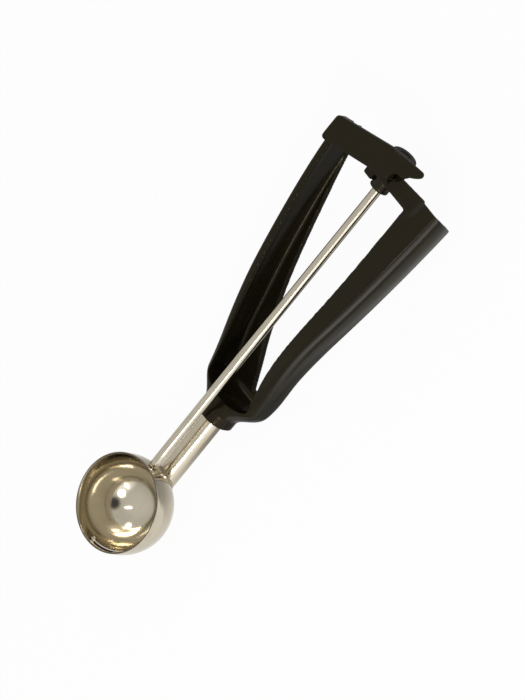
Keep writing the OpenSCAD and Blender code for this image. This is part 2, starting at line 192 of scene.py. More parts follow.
# %% [markdown]
# ## Finishes of steel
# The ball is mirror-polished, the shank is bright drawn tube, the weld has heat tint, and the
# spindle is ground rod. All are plain metal; what tells them apart is the run and depth of the
# lines and how rough the haze is. The lines follow the way each piece was worked: rings round the
# ball's axis, and long streaks along the tube and rod.

# %% Steel finishes
# Painted shade for the top of a rim: a dark tone and a rougher finish.
painted_rim_shade, dark_rim_rough = (0.16, 0.13, 0.1), 0.4


def steel(name, bright, dark, run, depth, clean, dull, rim=None):
    """`run` stretches the lines. `rim` holds the two heights between which a painted shade fades in at the
    top of a turned piece's rim, darker and rougher, and gives its lines the shape of rings."""
    made, tree = new_finish(name)
    shader = tree.nodes["Principled BSDF"]
    shader.inputs["Metallic"].default_value = 1.0
    where = add(tree, "ShaderNodeTexCoord").outputs["Object"]
    along = where
    if rim:
        parts = add(tree, "ShaderNodeSeparateXYZ", {0: where}).outputs
        flat = add(tree, "ShaderNodeCombineXYZ", {"X": parts["X"], "Y": parts["Y"]})
        off_axis = add(tree, "ShaderNodeVectorMath", {0: flat.outputs[0]}, {"operation": "LENGTH"})
        along = add(tree, "ShaderNodeCombineXYZ",
                    {"X": off_axis.outputs["Value"], "Z": parts["Z"]}).outputs[0]
    marks = use_group(tree, lines_group, {"Vector": along}, Stretch=run, Depth=depth)
    haze = use_group(tree, haze_group, {"Vector": where}, Clean=clean, Dull=dull)
    bump = add(tree, "ShaderNodeBump", {"Height": marks["Height"]}, Strength=0.25, Distance=0.0001)
    colour, rough = mix_colours(tree, haze["Mask"], bright, dark), haze["Roughness"]
    # Painted shade: above the rim heights the colour turns to the dark rim tone and gets rougher.
    if rim:
        edge = add(tree, "ShaderNodeMapRange", {"Value": parts["Z"]},
                   From_Min=rim[0], From_Max=rim[1]).outputs[0]
        colour = mix_colours(tree, edge, colour, painted_rim_shade)
        rough = add(tree, "ShaderNodeMapRange", {"Value": edge, "To Min": rough},
                    To_Max=dark_rim_rough).outputs[0]
    tree.links.new(colour, shader.inputs["Base Color"])
    tree.links.new(rough, shader.inputs["Roughness"])
    tree.links.new(bump.outputs[0], shader.inputs["Normal"])
    return made


# The ball's rim gets the painted shade above 4.25 mm.
polished_steel = steel("mirror_steel", (0.63, 0.57, 0.445), (0.565, 0.51, 0.4),
                       (2600, 0, 2600), 0.10, 0.09, 0.15, rim=(0.00425, 0.0044))
satin_steel = steel("drawn_steel", (0.64, 0.572, 0.45), (0.57, 0.508, 0.39),
                    (5200, 60, 5200), 0.35, 0.13, 0.2)
rod_steel = steel("ground_steel", (0.63, 0.568, 0.46), (0.57, 0.515, 0.405),
                  (6500, 45, 6500), 0.3, 0.14, 0.22)
weld_steel = steel("tinted_weld", (0.6, 0.51, 0.39), (0.3, 0.23, 0.16),
                   (1500, 1500, 1500), 0.8, 0.16, 0.34)
blade_steel = steel("blade_steel", (0.6, 0.53, 0.43), (0.54, 0.47, 0.37),
                    (400, 400, 5200), 0.3, 0.13, 0.22)
print("steels:", [m.name for m in (polished_steel, satin_steel, rod_steel, weld_steel, blade_steel)])

# %% [markdown]
# ## Finish of the black moulding
# The handle is one shot of glossy warm black plastic. Up close it has a fine skin, flow patches
# where the gloss changes a little, and convex edges painted paler as a painted highlight. `Pointiness`
# tells a convex edge from a flat face, and a noise breaks the painted highlight up.

# %% Plastic finishes
def plastic(name, body, edge_highlight_tint, clean, dull, grain, depth, gloss):
    made, tree = new_finish(name)
    shader = tree.nodes["Principled BSDF"]
    shader.inputs["Specular IOR Level"].default_value = gloss
    shader.inputs["Specular Tint"].default_value = (1.0, 0.87, 0.6, 1)
    where = add(tree, "ShaderNodeTexCoord").outputs["Object"]
    skin = use_group(tree, skin_group, {"Vector": where}, Grain=grain, Depth=depth)
    haze = use_group(tree, haze_group, {"Vector": where}, Size=130.0, Clean=clean, Dull=dull)
    # Painted highlight: convex edges, found by pointiness and broken by the mottle, are mixed towards a
    # paler colour.
    pointed = add(tree, "ShaderNodeNewGeometry").outputs["Pointiness"]
    edge = add(tree, "ShaderNodeMapRange", {"Value": pointed}, From_Min=0.53, From_Max=0.62)
    edge_highlight_share = maths(tree, "MULTIPLY", edge.outputs[0], skin["Mottle"])
    sink = add(tree, "ShaderNodeBump", {"Height": skin["Mottle"]}, Strength=0.12, Distance=0.0012)
    bump = add(tree, "ShaderNodeBump", {"Height": skin["Height"], "Normal": sink.outputs[0]},
               Strength=0.2, Distance=0.0002)
    tree.links.new(mix_colours(tree, edge_highlight_share, body, edge_highlight_tint), shader.inputs["Base Color"])
    tree.links.new(haze["Roughness"], shader.inputs["Roughness"])
    tree.links.new(bump.outputs[0], shader.inputs["Normal"])
    return made


# The second colour of each finish is its painted edge highlight.
black_moulding = plastic("glossy_black_moulding", (0.0078, 0.0062, 0.0028), (0.028, 0.023, 0.012),
                         0.15, 0.26, 1400.0, 0.12, 0.22)
black_bush = plastic("bush_black", (0.0066, 0.006, 0.004), (0.022, 0.02, 0.014),
                     0.3, 0.42, 2400.0, 0.4, 0.24)
pale_washer = plastic("pale_washer", (0.42, 0.40, 0.35), (0.55, 0.53, 0.48),
                      0.35, 0.45, 2400.0, 0.4, 0.4)
print("plastics:", [m.name for m in (black_moulding, black_bush, pale_washer)])

# %% [markdown]
# ## Mesh helpers
# Round pieces are turned from a profile, long ones are lofted through rows of points, and cuts are
# booleans that are baked straight into the mesh. `keep` turns an evaluated object into a plain mesh,
# so no modifier is left on a finished piece.

# %% Mesh helpers
def as_piece(name, mesh, finish):
    mesh.name = name
    mesh.materials.clear()
    if finish:
        mesh.materials.append(finish)
    piece = bpy.data.objects.new(name, mesh)
    scene.collection.objects.link(piece)
    return piece


def new_piece(name, points, faces, finish, smooth=True):
    mesh = bpy.data.meshes.new(name)
    mesh.from_pydata([Vector(p) * MM for p in points], [], faces)
    mesh.update()
    if smooth:
        mesh.shade_smooth()
    return as_piece(name, mesh, finish)


def face_outwards(piece):
    bm = bmesh.new()
    bm.from_mesh(piece.data)
    bmesh.ops.remove_doubles(bm, verts=bm.verts, dist=1e-7)
    bmesh.ops.recalc_face_normals(bm, faces=bm.faces)
    bm.to_mesh(piece.data)
    bm.free()
    return piece


def keep(piece, angle=32):
    evaluated = piece.evaluated_get(bpy.context.evaluated_depsgraph_get())
    ready = bpy.data.meshes.new_from_object(evaluated)
    piece.modifiers.clear()
    old = piece.data
    piece.data = ready
    ready.name = piece.name
    bpy.data.meshes.remove(old)
    ready.shade_smooth()
    ready.set_sharp_from_angle(angle=math.radians(angle))
    return piece


def cut(piece, tool):
    step = piece.modifiers.new("cut", "BOOLEAN")
    step.operation = "DIFFERENCE"
    step.solver = "EXACT"
    step.object = tool
    keep(piece)
    bpy.data.objects.remove(tool)
    return piece


def turned(name, profile, finish, centre=(0, 0, 0), axis="Y", sides=96):
    """Turn a closed profile of (radius, height) points; a point on the axis becomes one pole."""
    points, rows = [], []
    for radius, height in profile:
        count = 1 if radius == 0 else sides
        rows.append(range(len(points), len(points) + count))
        for i in range(count):
            a = 2 * math.pi * i / sides
            x, y = radius * math.cos(a), radius * math.sin(a)
            spot = (x, height, y) if axis == "Y" else (x, y, height)
            points.append(tuple(s + c for s, c in zip(spot, centre)))
    faces = []
    for low, high in zip(rows, rows[1:] + rows[:1]):
        if len(low) == len(high) == 1:
            continue
        for i in range(sides):
            j = (i + 1) % sides
            ring = [low[i % len(low)], low[j % len(low)], high[j % len(high)], high[i % len(high)]]
            faces.append([p for k, p in enumerate(ring) if p != ring[k - 1]])
    return face_outwards(new_piece(name, points, faces, finish))


def bore(radius, low, high, z=0.0, sides=96):
    profile = [(0, low), (radius, low), (radius, high), (0, high)]
    return turned("bore", profile, None, centre=(0, 0, z), sides=sides)


def on_curve(a, pull, b, t):
    """Point at t on the curve from a to b that a third point pulls towards itself."""
    return a * (1 - t) ** 2 + pull * 2 * t * (1 - t) + b * t * t


def rounded(corners, steps=5):
    """Outline with each (x, y, radius) corner rounded."""
    outline = []
    for i, (x, y, radius) in enumerate(corners):
        here = Vector((x, y))
        before = Vector(corners[i - 1][:2]) - here
        after = Vector(corners[(i + 1) % len(corners)][:2]) - here
        bend = before.angle(after)
        reach = min(radius / math.tan(bend / 2), before.length * 0.49, after.length * 0.49)
        if radius == 0:
            outline.append(here)
            continue
        a, b = here + before.normalized() * reach, here + after.normalized() * reach
        outline += [on_curve(a, here, b, k / steps) for k in range(steps + 1)]
    return outline


def prism(name, outline, low, high, finish=None):
    """Upright prism over an outline of (x, y) points."""
    count = len(outline)
    points = [(p[0], p[1], low) for p in outline] + [(p[0], p[1], high) for p in outline]
    faces = [[i, (i + 1) % count, count + (i + 1) % count, count + i] for i in range(count)]
    faces += [list(range(count))[::-1], list(range(count, 2 * count))]
    return face_outwards(new_piece(name, points, faces, finish, smooth=False))


def block(name, low, high):
    outline = [(low[0], low[1]), (high[0], low[1]), (high[0], high[1]), (low[0], high[1])]
    return prism(name, outline, low[2], high[2])


def loft(name, rows, finish=None, ring=False):
    """Solid through rows that each hold the same number of (x, y, z) points. A ring joins its last
    row to its first; any other loft gets a face at each end."""
    count = len(rows[0])
    points = [p for row in rows for p in row]
    total = len(points)
    faces = [[r * count + i, r * count + (i + 1) % count,
              ((r + 1) * count + (i + 1) % count) % total, ((r + 1) * count + i) % total]
             for r in range(len(rows) if ring else len(rows) - 1) for i in range(count)]
    if not ring:
        faces += [list(range(count))[::-1], list(range(total - count, total))]
    return face_outwards(new_piece(name, points, faces, finish))


# %% [markdown]
# ## The bowl
# A half ball of thin sheet with a short straight band, pressed and then polished. Turning one
# profile about the upright axis gives the whole shell: down the inside, round the rim, and back up
# the outside. The rim's edge is rounded, and its top is painted darker as a painted shade. Two small
# holes carry the spindle.

# %% Bowl
ball_out, sheet, band = 22.5, 0.9, 4.5
ball_in = ball_out - sheet
journal, run_gap, blade_gap = 1.2, 0.08, 0.02
arc_steps = 64


def ball_arc(radius, first, last, steps):
    return [(abs(radius * math.cos(math.radians(first + (last - first) * k / steps))),
             radius * math.sin(math.radians(first + (last - first) * k / steps)))
            for k in range(steps + 1)]


def bowl_profile():
    outside = ball_arc(ball_out, -90, 0, arc_steps)
    inside = ball_arc(ball_in, 0, -90, arc_steps)
    outside[0] = (0, -ball_out)
    inside[-1] = (0, -ball_in)
    middle, edge = (ball_out + ball_in) / 2, sheet / 2
    rim = [(middle + edge * math.cos(a), band - edge + edge * math.sin(a))
           for a in [math.pi * k / 10 for k in range(11)]]
    return outside + [(ball_out, band * 0.45)] + rim + [(ball_in, band * 0.45)] + inside


bowl = turned("steel_bowl", bowl_profile(), polished_steel, axis="Z", sides=160)
cut(bowl, bore(journal + run_gap, -40, 40, sides=48))
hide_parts("bowl")
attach(bowl, "frame")
print("bowl faces:", len(bowl.data.polygons))

# %% [markdown]
# ## The sweeper blade
# A thin strip bent to the ball's inside, with a round eye at each end that sits on the spindle.
# We lay its outline out flat, as a maker would cut it, and wrap that round a ball: the length
# becomes an angle and the width stays a height. Its resting place is just under the rim.

# %% Sweeper blade
blade_half, blade_thick = 1.9, 0.6
blade_out = ball_in - 0.4
blade_tilt = math.radians(7)


def blade_mesh():
    reach = math.pi / 2 * blade_out + blade_half
    stations = [reach * math.sin(math.pi / 2 * k / 60) for k in range(-60, 61)]
    across = 8
    points, faces = [], []
    for depth in (0, blade_thick):
        radius = blade_out - depth
        for s in stations:
            past = max(0.0, abs(s) - (reach - blade_half))
            half = math.sqrt(max(0.0004, blade_half ** 2 - past ** 2)) - 0.12 * (depth > 0)
            for k in range(across + 1):
                w = half * (2 * k / across - 1)
                flat = math.sqrt(radius ** 2 - w ** 2)
                a = s / blade_out
                x, y, z = flat * math.cos(a), flat * math.sin(a), w
                points.append((x * math.cos(blade_tilt) + z * math.sin(blade_tilt), y,
                               z * math.cos(blade_tilt) - x * math.sin(blade_tilt)))
    row, side = across + 1, len(stations) * (across + 1)
    for i in range(len(stations) - 1):
        for k in range(across):
            a = i * row + k
            faces.append([a, a + 1, a + row + 1, a + row])
            faces.append([side + a, side + a + row, side + a + row + 1, side + a + 1])
        for k in (0, across):
            a = i * row + k
            faces.append([a, a + row, side + a + row, side + a])
    for i in (0, len(stations) - 1):
        for k in range(across):
            a = i * row + k
            faces.append([a, a + 1, side + a + 1, side + a])
    return points, faces


blade = face_outwards(new_piece("sweeper_blade_strip", *blade_mesh(), blade_steel))
cut(blade, bore(journal + blade_gap, -40, 40, sides=48))
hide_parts("sweeper_blade")
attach(blade, "spindle")
print("blade faces:", len(blade.data.polygons))

# %% [markdown]
# ## Spindle, far pivot, shank and weld
# The spindle is a ground rod whose end is turned down to pass through the bowl. The far pivot is a
# short pin with a domed head. The shank is a tube whose foot is cut to the ball's round, and a
# rippled bead of weld runs round that joint.

# %% Spindle rod and far pivot
rod, rod_top = 2.3, 209.4
rod_profile = [(0, 20.6), (journal, 20.6), (journal, 22.72), (rod - 0.35, 22.8), (rod - 0.1, 22.9),
               (rod, 23.15)]
rod_profile += [(rod, 23.15 + (rod_top - 23.45) * k / 24) for k in range(1, 25)]
rod_profile += [(rod - 0.3, rod_top), (0, rod_top)]
spindle = keep(turned("spindle_rod_ground", rod_profile, rod_steel, sides=64))
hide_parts("spindle_rod")
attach(spindle, "spindle")

pivot_profile = [(0, -19.9), (journal - 0.15, -19.9), (journal, -20.1), (journal, -23.3)]
pivot_profile += [(journal * math.cos(a), -23.3 - 0.5 * math.sin(a))
                  for a in [math.pi / 2 * k / 6 for k in range(1, 6)]] + [(0, -23.8)]
pivot = keep(turned("far_pivot_pin", pivot_profile, rod_steel, sides=40))
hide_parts("far_pivot")
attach(pivot, "spindle")
print("spindle reaches", rod_top, "mm")

# %% Shank tube
tube, tube_wall, tube_z, tube_end = 5.25, 1.0, -14.0, 61.5
foot_ball, weld_ball = 22.52, 22.54
tube_profile = [(tube - tube_wall, 0), (tube, 0)]
tube_profile += [(tube, tube_end * k / 20) for k in range(1, 21)] + [(tube - tube_wall, tube_end)]
shank = keep(turned("shank_tube_drawn", tube_profile, satin_steel, centre=(0, 0, tube_z)))
ball_profile = [(0, -foot_ball)] + ball_arc(foot_ball, -89, 89, 60) + [(0, foot_ball)]
cut(shank, turned("ball", ball_profile, None, axis="Z", sides=120))
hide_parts("shank_tube")
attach(shank, "frame")
print("shank faces:", len(shank.data.polygons))

# %% Weld bead
def weld_rows(turns=150, ripples=34):
    rows = []
    for i in range(turns):
        a = 2 * math.pi * i / turns
        ripple = 0.5 + 0.5 * abs(math.sin(ripples * a / 2)) ** 0.7
        swell = 1 + 0.12 * math.sin(3 * a + 0.6) + 0.07 * math.sin(7 * a)
        low, high = tube + 0.03, tube + (0.45 + 0.72 * ripple) * swell
        row = []
        for radius, lift in ((low, 0.0), (high, 0.0), (low * 0.25 + high * 0.75, 0.42),
                             (low * 0.62 + high * 0.38, 0.78), (low, 1.0)):
            x, z = radius * math.cos(a), tube_z + radius * math.sin(a)
            y = math.sqrt(max(1.0, weld_ball ** 2 - x * x - z * z)) + lift * 1.05 * ripple * swell
            row.append((x, y, z))
        rows.append(row)
    return rows


weld = keep(loft("weld_bead", weld_rows(), weld_steel, ring=True), 60)
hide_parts("shank_weld")
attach(weld, "frame")
print("weld faces:", len(weld.data.polygons))

# %% [markdown]
# ## Rack and pinion
# Squeezing the handle swings a short curved rack past an eleven-tooth pinion on the spindle. Both
# rows of teeth follow one rule, a tooth turned by a fixed step about an axis, so one Geometry Nodes
# tree makes both: it copies the tooth that it is given, turns each copy, and joins them.

# %% Teeth by Geometry Nodes
def tooth_ring_tree():
    tree = bpy.data.node_groups.new("Ring of teeth", "GeometryNodeTree")
    for label, kind in (("Geometry", "Geometry"), ("Count", "Int"), ("First", "Vector"),
                        ("Step", "Vector"), ("Centre", "Vector"), ("Finish", "Material")):
        tree.interface.new_socket(label, in_out="INPUT", socket_type="NodeSocket" + kind)
    tree.interface.new_socket("Geometry", in_out="OUTPUT", socket_type="NodeSocketGeometry")
    source = tree.nodes.new("NodeGroupInput").outputs
    places = add(tree, "GeometryNodeMeshLine",
                 {"Count": source["Count"], "Start Location": source["Centre"]},
                 {"mode": "OFFSET"}, Offset=(0, 0, 0))
    index = add(tree, "GeometryNodeInputIndex")
    steps = add(tree, "ShaderNodeVectorMath", {0: source["Step"], "Scale": index.outputs[0]},
                {"operation": "SCALE"})
    angle = add(tree, "ShaderNodeVectorMath", {0: source["First"], 1: steps.outputs[0]},
                {"operation": "ADD"})
    turn = add(tree, "FunctionNodeEulerToRotation", {0: angle.outputs[0]})
    copies = add(tree, "GeometryNodeInstanceOnPoints",
                 {"Points": places.outputs[0], "Instance": source["Geometry"],
                  "Rotation": turn.outputs[0]})
    real = add(tree, "GeometryNodeRealizeInstances", {0: copies.outputs[0]})
    dressed = add(tree, "GeometryNodeSetMaterial",
                  {"Geometry": real.outputs[0], "Material": source["Finish"]})
    tree.links.new(dressed.outputs[0], tree.nodes.new("NodeGroupOutput").inputs[0])
    return tree


teeth_tree = tooth_ring_tree()


def ring_of_teeth(tooth, count, first, step, centre, finish):
    rule = tooth.modifiers.new("teeth", "NODES")
    rule.node_group = teeth_tree
    values = {"Count": count, "First": first, "Step": step, "Centre": centre, "Finish": finish}
    for socket in teeth_tree.interface.items_tree:
        if socket.in_out == "INPUT" and socket.name in values:
            rule[socket.identifier] = values[socket.name]
    return keep(tooth, 30)


module = 1.0
teeth = 11
pitch = module * teeth / 2
root, tip = pitch - 1.25 * module, pitch + 0.9 * module
half_tooth = module * math.pi / 4 - 0.2


def flank(foot, top, height, steps=6):
    """Outline of one tooth whose flanks bulge a little, as real ones do."""
    side = []
    for k in range(steps + 1):
        t = k / steps
        side.append((foot + (top - foot) * t + 0.05 * math.sin(math.pi * t), height * t))
    side[-1] = (top - 0.08, height)
    side.insert(-1, (top, height - 0.08))
    return side + [(-w, h) for w, h in reversed(side)]


def one_tooth(name, outline, low, high, foot, way):
    """Tooth from its outline; `way` is 1 where it points away from the axis and -1 towards it."""
    return loft(name, [[(w, y, foot + way * h) for w, h in outline] for y in (low, high)])


print("pitch radius", pitch, "tooth half width", round(half_tooth, 3))

# %% Pinion
arm_y, arm_floor = 196.0, 2.8
washer_y = arm_y + arm_floor + 0.1
pinion_y = washer_y + 0.9
cap_y = pinion_y + 8.0

profile = flank(half_tooth + 0.26, half_tooth - 0.34, tip - root + 0.12)
tooth = one_tooth("pinion_teeth", profile, pinion_y, cap_y + 0.4, root - 0.12, 1)
pinion_teeth = ring_of_teeth(tooth, teeth, (0, 0, 0), (0, 2 * math.pi / teeth, 0), (0, 0, 0),
                             black_bush)

cap_top = cap_y + 2.8
cap_profile = [(rod + 0.02, pinion_y), (root, pinion_y), (root, cap_y), (5.9, cap_y), (6.22, cap_y + 0.1),
               (6.4, cap_y + 0.45), (6.4, cap_top - 0.9), (6.26, cap_top - 0.45), (5.95, cap_top - 0.14),
               (5.5, cap_top), (3.0, cap_top), (2.75, cap_top - 0.1), (2.55, cap_top - 0.35),
               (0, cap_top - 0.4), (0, cap_top - 1.18), (rod + 0.02, cap_top - 1.18)]
cap = keep(turned("pinion_hub", cap_profile, black_bush, sides=88))


def join(name, pieces):
    bm = bmesh.new()
    for piece in pieces:
        bm.from_mesh(piece.data)
    mesh = bpy.data.meshes.new(name)
    bm.to_mesh(mesh)
    bm.free()
    finish = pieces[0].data.materials[0] if pieces[0].data.materials else None
    for piece in pieces:
        bpy.data.objects.remove(piece)
    return as_piece(name, mesh, finish)


pinion = keep(join("pinion_and_cap", [cap, pinion_teeth]))
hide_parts("pinion")
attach(pinion, "spindle")
print("pinion faces:", len(pinion.data.polygons))

# %% Curved rack
hinge_y = 62.0
rack_in, rack_out = pinion_y + 1.1 - hinge_y, cap_y - 0.9 - hinge_y
rack_mid = (rack_in + rack_out) / 2
rack_step = math.pi * module / rack_mid
rack_root, rack_tip = pitch + 1.3 * module, pitch - 0.85 * module
first_tooth, last_tooth = -8, 1

profile = flank(half_tooth + 0.42, half_tooth - 0.33, rack_root + 0.1 - rack_tip)
tooth = one_tooth("rack_teeth", profile, rack_in, rack_out, rack_root + 0.1, -1)
rack_teeth = ring_of_teeth(tooth, last_tooth - first_tooth + 1,
                           (0, 0, -(first_tooth + 0.5) * rack_step), (0, 0, -rack_step),
                           (0, hinge_y * MM, 0), black_moulding)


def sector(inner, outer, start, stop, steps=40):
    """Outline of a ring sector about the hinge; angles are measured from +Y towards -X."""
    angles = [start + (stop - start) * k / steps for k in range(steps + 1)]
    return ([(-outer * math.sin(a), hinge_y + outer * math.cos(a)) for a in angles]
            + [(-inner * math.sin(a), hinge_y + inner * math.cos(a)) for a in reversed(angles)])


strip_outline = sector(rack_in, rack_out, -(last_tooth + 1) * rack_step, -first_tooth * rack_step)
strip = prism("rack_strip", strip_outline, rack_root, rack_root + 0.78, black_moulding)
rack = keep(join("curved_rack", [strip, rack_teeth]))
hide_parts("gear_rack")
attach(rack, "lever")
print("rack faces:", len(rack.data.polygons))

# %% Washer and bearing collar
washer_profile = [(rod + 0.08, washer_y), (root - 0.15, washer_y), (root, washer_y + 0.15),
                  (root, washer_y + 0.65), (root - 0.15, washer_y + 0.8), (rod + 0.08, washer_y + 0.8)]
washer = keep(turned("thrust_washer_ring", washer_profile, pale_washer, sides=64))
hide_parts("thrust_washer")
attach(washer, "frame")

collar_low = arm_y - 5.5
collar_profile = [(rod + 0.08, collar_low + 0.25), (rod + 0.4, collar_low), (4.2, collar_low),
                  (4.52, collar_low + 0.13), (4.65, collar_low + 0.45), (4.65, collar_low + 1.5),
                  (4.56, collar_low + 1.68), (4.56, collar_low + 1.86), (4.65, collar_low + 2.05),
                  (4.65, arm_y - 0.02), (3.48, arm_y - 0.02), (3.48, arm_y + 2.8),
                  (rod + 0.08, arm_y + 2.8)]
collar = keep(turned("bearing_collar", collar_profile, black_bush, sides=72))
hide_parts("arm_bearing")
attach(collar, "frame")
print("collar and washer done")

# %% [markdown]
# ## The wishbone: its rules
# Neck, both legs, arm and bar are one flowing moulding. Its shape follows a few curves along the
# handle, each a list of [place, value, slope] knots: the half width, the level of the front and of
# the back, the roundness of the corners, and how far each flange reaches inwards.

# %% Curves of the wishbone
def curve(knots, y):
    i = 0
    while i < len(knots) - 2 and y >= knots[i + 1][0]:
        i += 1
    (y0, v0, s0), (y1, v1, s1) = knots[i], knots[i + 1]
    h = y1 - y0
    t = (y - y0) / h
    return (v0 * (1 + 2 * t) * (1 - t) ** 2 + h * s0 * t * (1 - t) ** 2
            + v1 * t * t * (3 - 2 * t) + h * s1 * t * t * (t - 1))


neck_r, wall, flange, plain_edge = 8.75, 3.0, 2.6, 3.8
front_level, web_low, web_top = 5.8, 65, 73.5
half_knots = [[54, neck_r, 0], [58, neck_r, 0], [65, 14.733, 1.1], [70, 17.9, 0.18],
              [74, 18.4, 0.12], [90, 20.0, 0.1], [120.03, 24.542, 0.19], [196, 35, 0.075],
              [210, 36, 0.075]]
front_knots = [[54, -5.25, 0], [65, -6.65, -0.05], [74, -6.25, 0.13], [90, -2.8, 0.26], [120.03, 3.0, 0.09],
               [144.88, 4.4, 0.05], [186.54, front_level, 0], [210, front_level, 0]]
back_knots = [[54, -22.75, 0], [58, -22.75, 0], [73, -24, 0.1], [81, -22.4, 0.31], [90, -19.5, 0.32],
              [102, -17, 0.14], [144.88, -13.5, 0.05], [186.54, -12.3, 0], [210, -12.3, 0]]
corner_knots = [[54, neck_r, 0], [58, neck_r, 0], [70, 6.4, -0.2], [81, 4.4, -0.16], [96, 2.2, -0.08],
                [120.03, 1.4, 0], [210, 1.3, 0]]
lip_knots = [[73.5, 3.8, 0.2], [90, 6.45, 0.08], [120.03, 8.25, 0.09], [196, 15, 0.09], [210, 15, 0]]
rear_knots = [[73.5, 19.9, -0.3], [81, 18.1, -0.14], [97.4, 15.0, -0.22], [122.53, 10.6, -0.12],
              [159.88, 6.8, -0.11], [183.54, 3.8, -0.13], [189.54, 3.2, 0], [210, 3.2, 0]]
floor_knots = [[web_low, -7.25, -6], [web_top, -21.5, -0.2]]


def half_w(y): return curve(half_knots, y)
def front(y): return curve(front_knots, y)
def back(y): return curve(back_knots, y)
def corner(y): return min(curve(corner_knots, y), (front(y) - back(y)) / 2 - 0.75, half_w(y) - 0.75)


def crotch_w(y):
    inner = half_w(y) - wall
    return inner if y >= 70 else inner * math.sqrt(max(0.003, 1 - ((70 - y) / 5) ** 2))


def rear_t(y):
    return flange if y > web_top else max(flange, curve(floor_knots, max(y, web_low)) - back(y))


def front_t(y): return min(flange, (front(y) - back(y) - rear_t(y)) / 2)


print("width at the mouth", 2 * round(half_w(196), 1), "mm")

# %% [markdown]
# ## The wishbone: its sections
# Along most of its length a leg is a channel: a side wall with a flange at the front and one at the
# back. Down the outside runs a fine groove with a soft swell below it, which fingers feel. A mould
# can't fill sharp inner corners, so each gets a fillet.

# %% Sections of neck and legs
def swell(u, y):
    k = max(0.0, min(1.0, (y - 74) / 46))
    groove = -0.95 * math.exp(-((u - 0.28) / 0.045) ** 2)
    belly = 0.6 * math.sin(math.pi * (u - 0.34) / 0.66) if u > 0.34 else 0.0
    return k * (groove + belly)


def turn(y, d):
    r = corner(y)
    return math.pi / 2 if d >= r else math.acos((r - d) / r)


def arc_points(cx, cy, r, a0, a1, n):
    return [(cx + r * math.cos(a0 + (a1 - a0) * k / n), cy + r * math.sin(a0 + (a1 - a0) * k / n))
            for k in range(n + 1)]


def outer_side(y, front_reach, back_reach):
    r, w, f, b = corner(y), half_w(y), front(y), back(y)
    us = [k / 40 for k in range(1, 40)]
    return (arc_points(w - r, f - r, r, turn(y, front_reach), 0, 9)
            + [(w + swell(u, y), f - r - u * (f - b - 2 * r)) for u in us]
            + arc_points(w - r, b + r, r, 0, -turn(y, back_reach), 9))


def fillet(before, at, after, radius, n=6):
    p, q, s = Vector(before), Vector(at), Vector(after)
    a = q + (p - q).normalized() * min(radius, (p - q).length * 0.48)
    b = q + (s - q).normalized() * min(radius, (s - q).length * 0.48)
    return [tuple(on_curve(a, q, b, k / n)) for k in range(n + 1)]


def leg_row(y, front_w, rear_w, sign):
    w, r = half_w(y), corner(y)
    inner = max(crotch_w(y), w - rear_w + 0.2)
    lip = max(front_w, w - inner + 0.1)
    zf, zb = front(y) - front_t(y), back(y) + rear_t(y)
    front_drop = r * (1 - math.sin(turn(y, lip)))
    rear_drop = r * (1 - math.sin(turn(y, rear_w)))
    heel = (w - rear_w, zb)
    knee = (w - lip, zf)
    points = outer_side(y, lip - 0.1, rear_w - 0.1)
    points += [(w - rear_w, back(y) + rear_drop), heel]
    points += fillet(heel, (inner, zb), (inner, zf), 2.6)
    points += fillet((inner, zb), (inner, zf), knee, 1.6)
    points += [knee, (w - lip, front(y) - front_drop)]
    return [(sign * x, y, z) for x, z in points]


def neck_row(y):
    half = outer_side(y, 400, 400)
    return [(x, y, z) for x, z in half] + [(-x, y, z) for x, z in reversed(half)]


def stations(start, stop, step):
    count = max(1, round((stop - start) / step))
    return [start + (stop - start) * k / count for k in range(count + 1)]


print("points in a leg's section:", len(leg_row(120, 8, 9, 1)))

# %% Raw solids of the moulding
def slice_top(piece, y, fall):
    """Cut off what lies above a plane at y on the front face that falls towards the back."""
    bm = bmesh.new()
    bm.from_mesh(piece.data)
    normal = Vector((0, 1, -fall)).normalized()
    result = bmesh.ops.bisect_plane(bm, geom=bm.verts[:] + bm.edges[:] + bm.faces[:],
                                    plane_co=Vector((0, y, front_level)) * MM, plane_no=normal,
                                    clear_outer=True)
    edges = [e for e in result["geom_cut"] if isinstance(e, bmesh.types.BMEdge)]
    bmesh.ops.contextual_create(bm, geom=edges)
    bm.to_mesh(piece.data)
    bm.free()
    return face_outwards(piece)


web_rows = stations(64.4, 73.45, 0.45)
legs_from = 73.7


def fixed_leg(name, stop):
    rows = [leg_row(y, 0, half_w(y) + 0.6, 1) for y in web_rows]
    return loft(name, rows + [leg_row(y, curve(lip_knots, y), plain_edge, 1)
                              for y in stations(legs_from, stop, 1.4)])


def moving_leg(name, stop):
    rows = [leg_row(y, plain_edge, half_w(y) + 0.6, -1) for y in web_rows]
    return loft(name, rows + [leg_row(y, plain_edge, curve(rear_knots, y), -1)
                              for y in stations(legs_from, stop, 1.4)])


neck = loft("neck", [neck_row(y) for y in stations(54, 65.2, 0.6)])
fixed = slice_top(fixed_leg("fixed", 210), 206.1, 0.4)
moving = slice_top(moving_leg("moving", 205), 199.3, 0.24)

arm_top, guard_x, guard_low, guard_right = 206.0, 8.5, 192.5, -2.9
arm_outline = rounded([(19.6, 196, 0), (20.3, 195.0, 0), (25, 194.8, 0), (25, arm_top, 0),
                       (-guard_x, arm_top - 3.2, 1.2), (-guard_x, guard_low, 1.2),
                       (guard_right, guard_low, 0.5), (guard_right, 196, 0.4)])
arm_plate = prism("arm_plate", arm_outline, 3.0, front_level)
arm_shelf = block("arm_shelf", (-8.2, 196.02, -7.2), (32.6, 198.8, 4.8))
arm_foot = block("arm_foot", (24, 196.04, -10.3), (32.6, 198.78, 0))
print("solids of the right side:", [p.name for p in (neck, fixed, arm_plate, arm_shelf, arm_foot)])

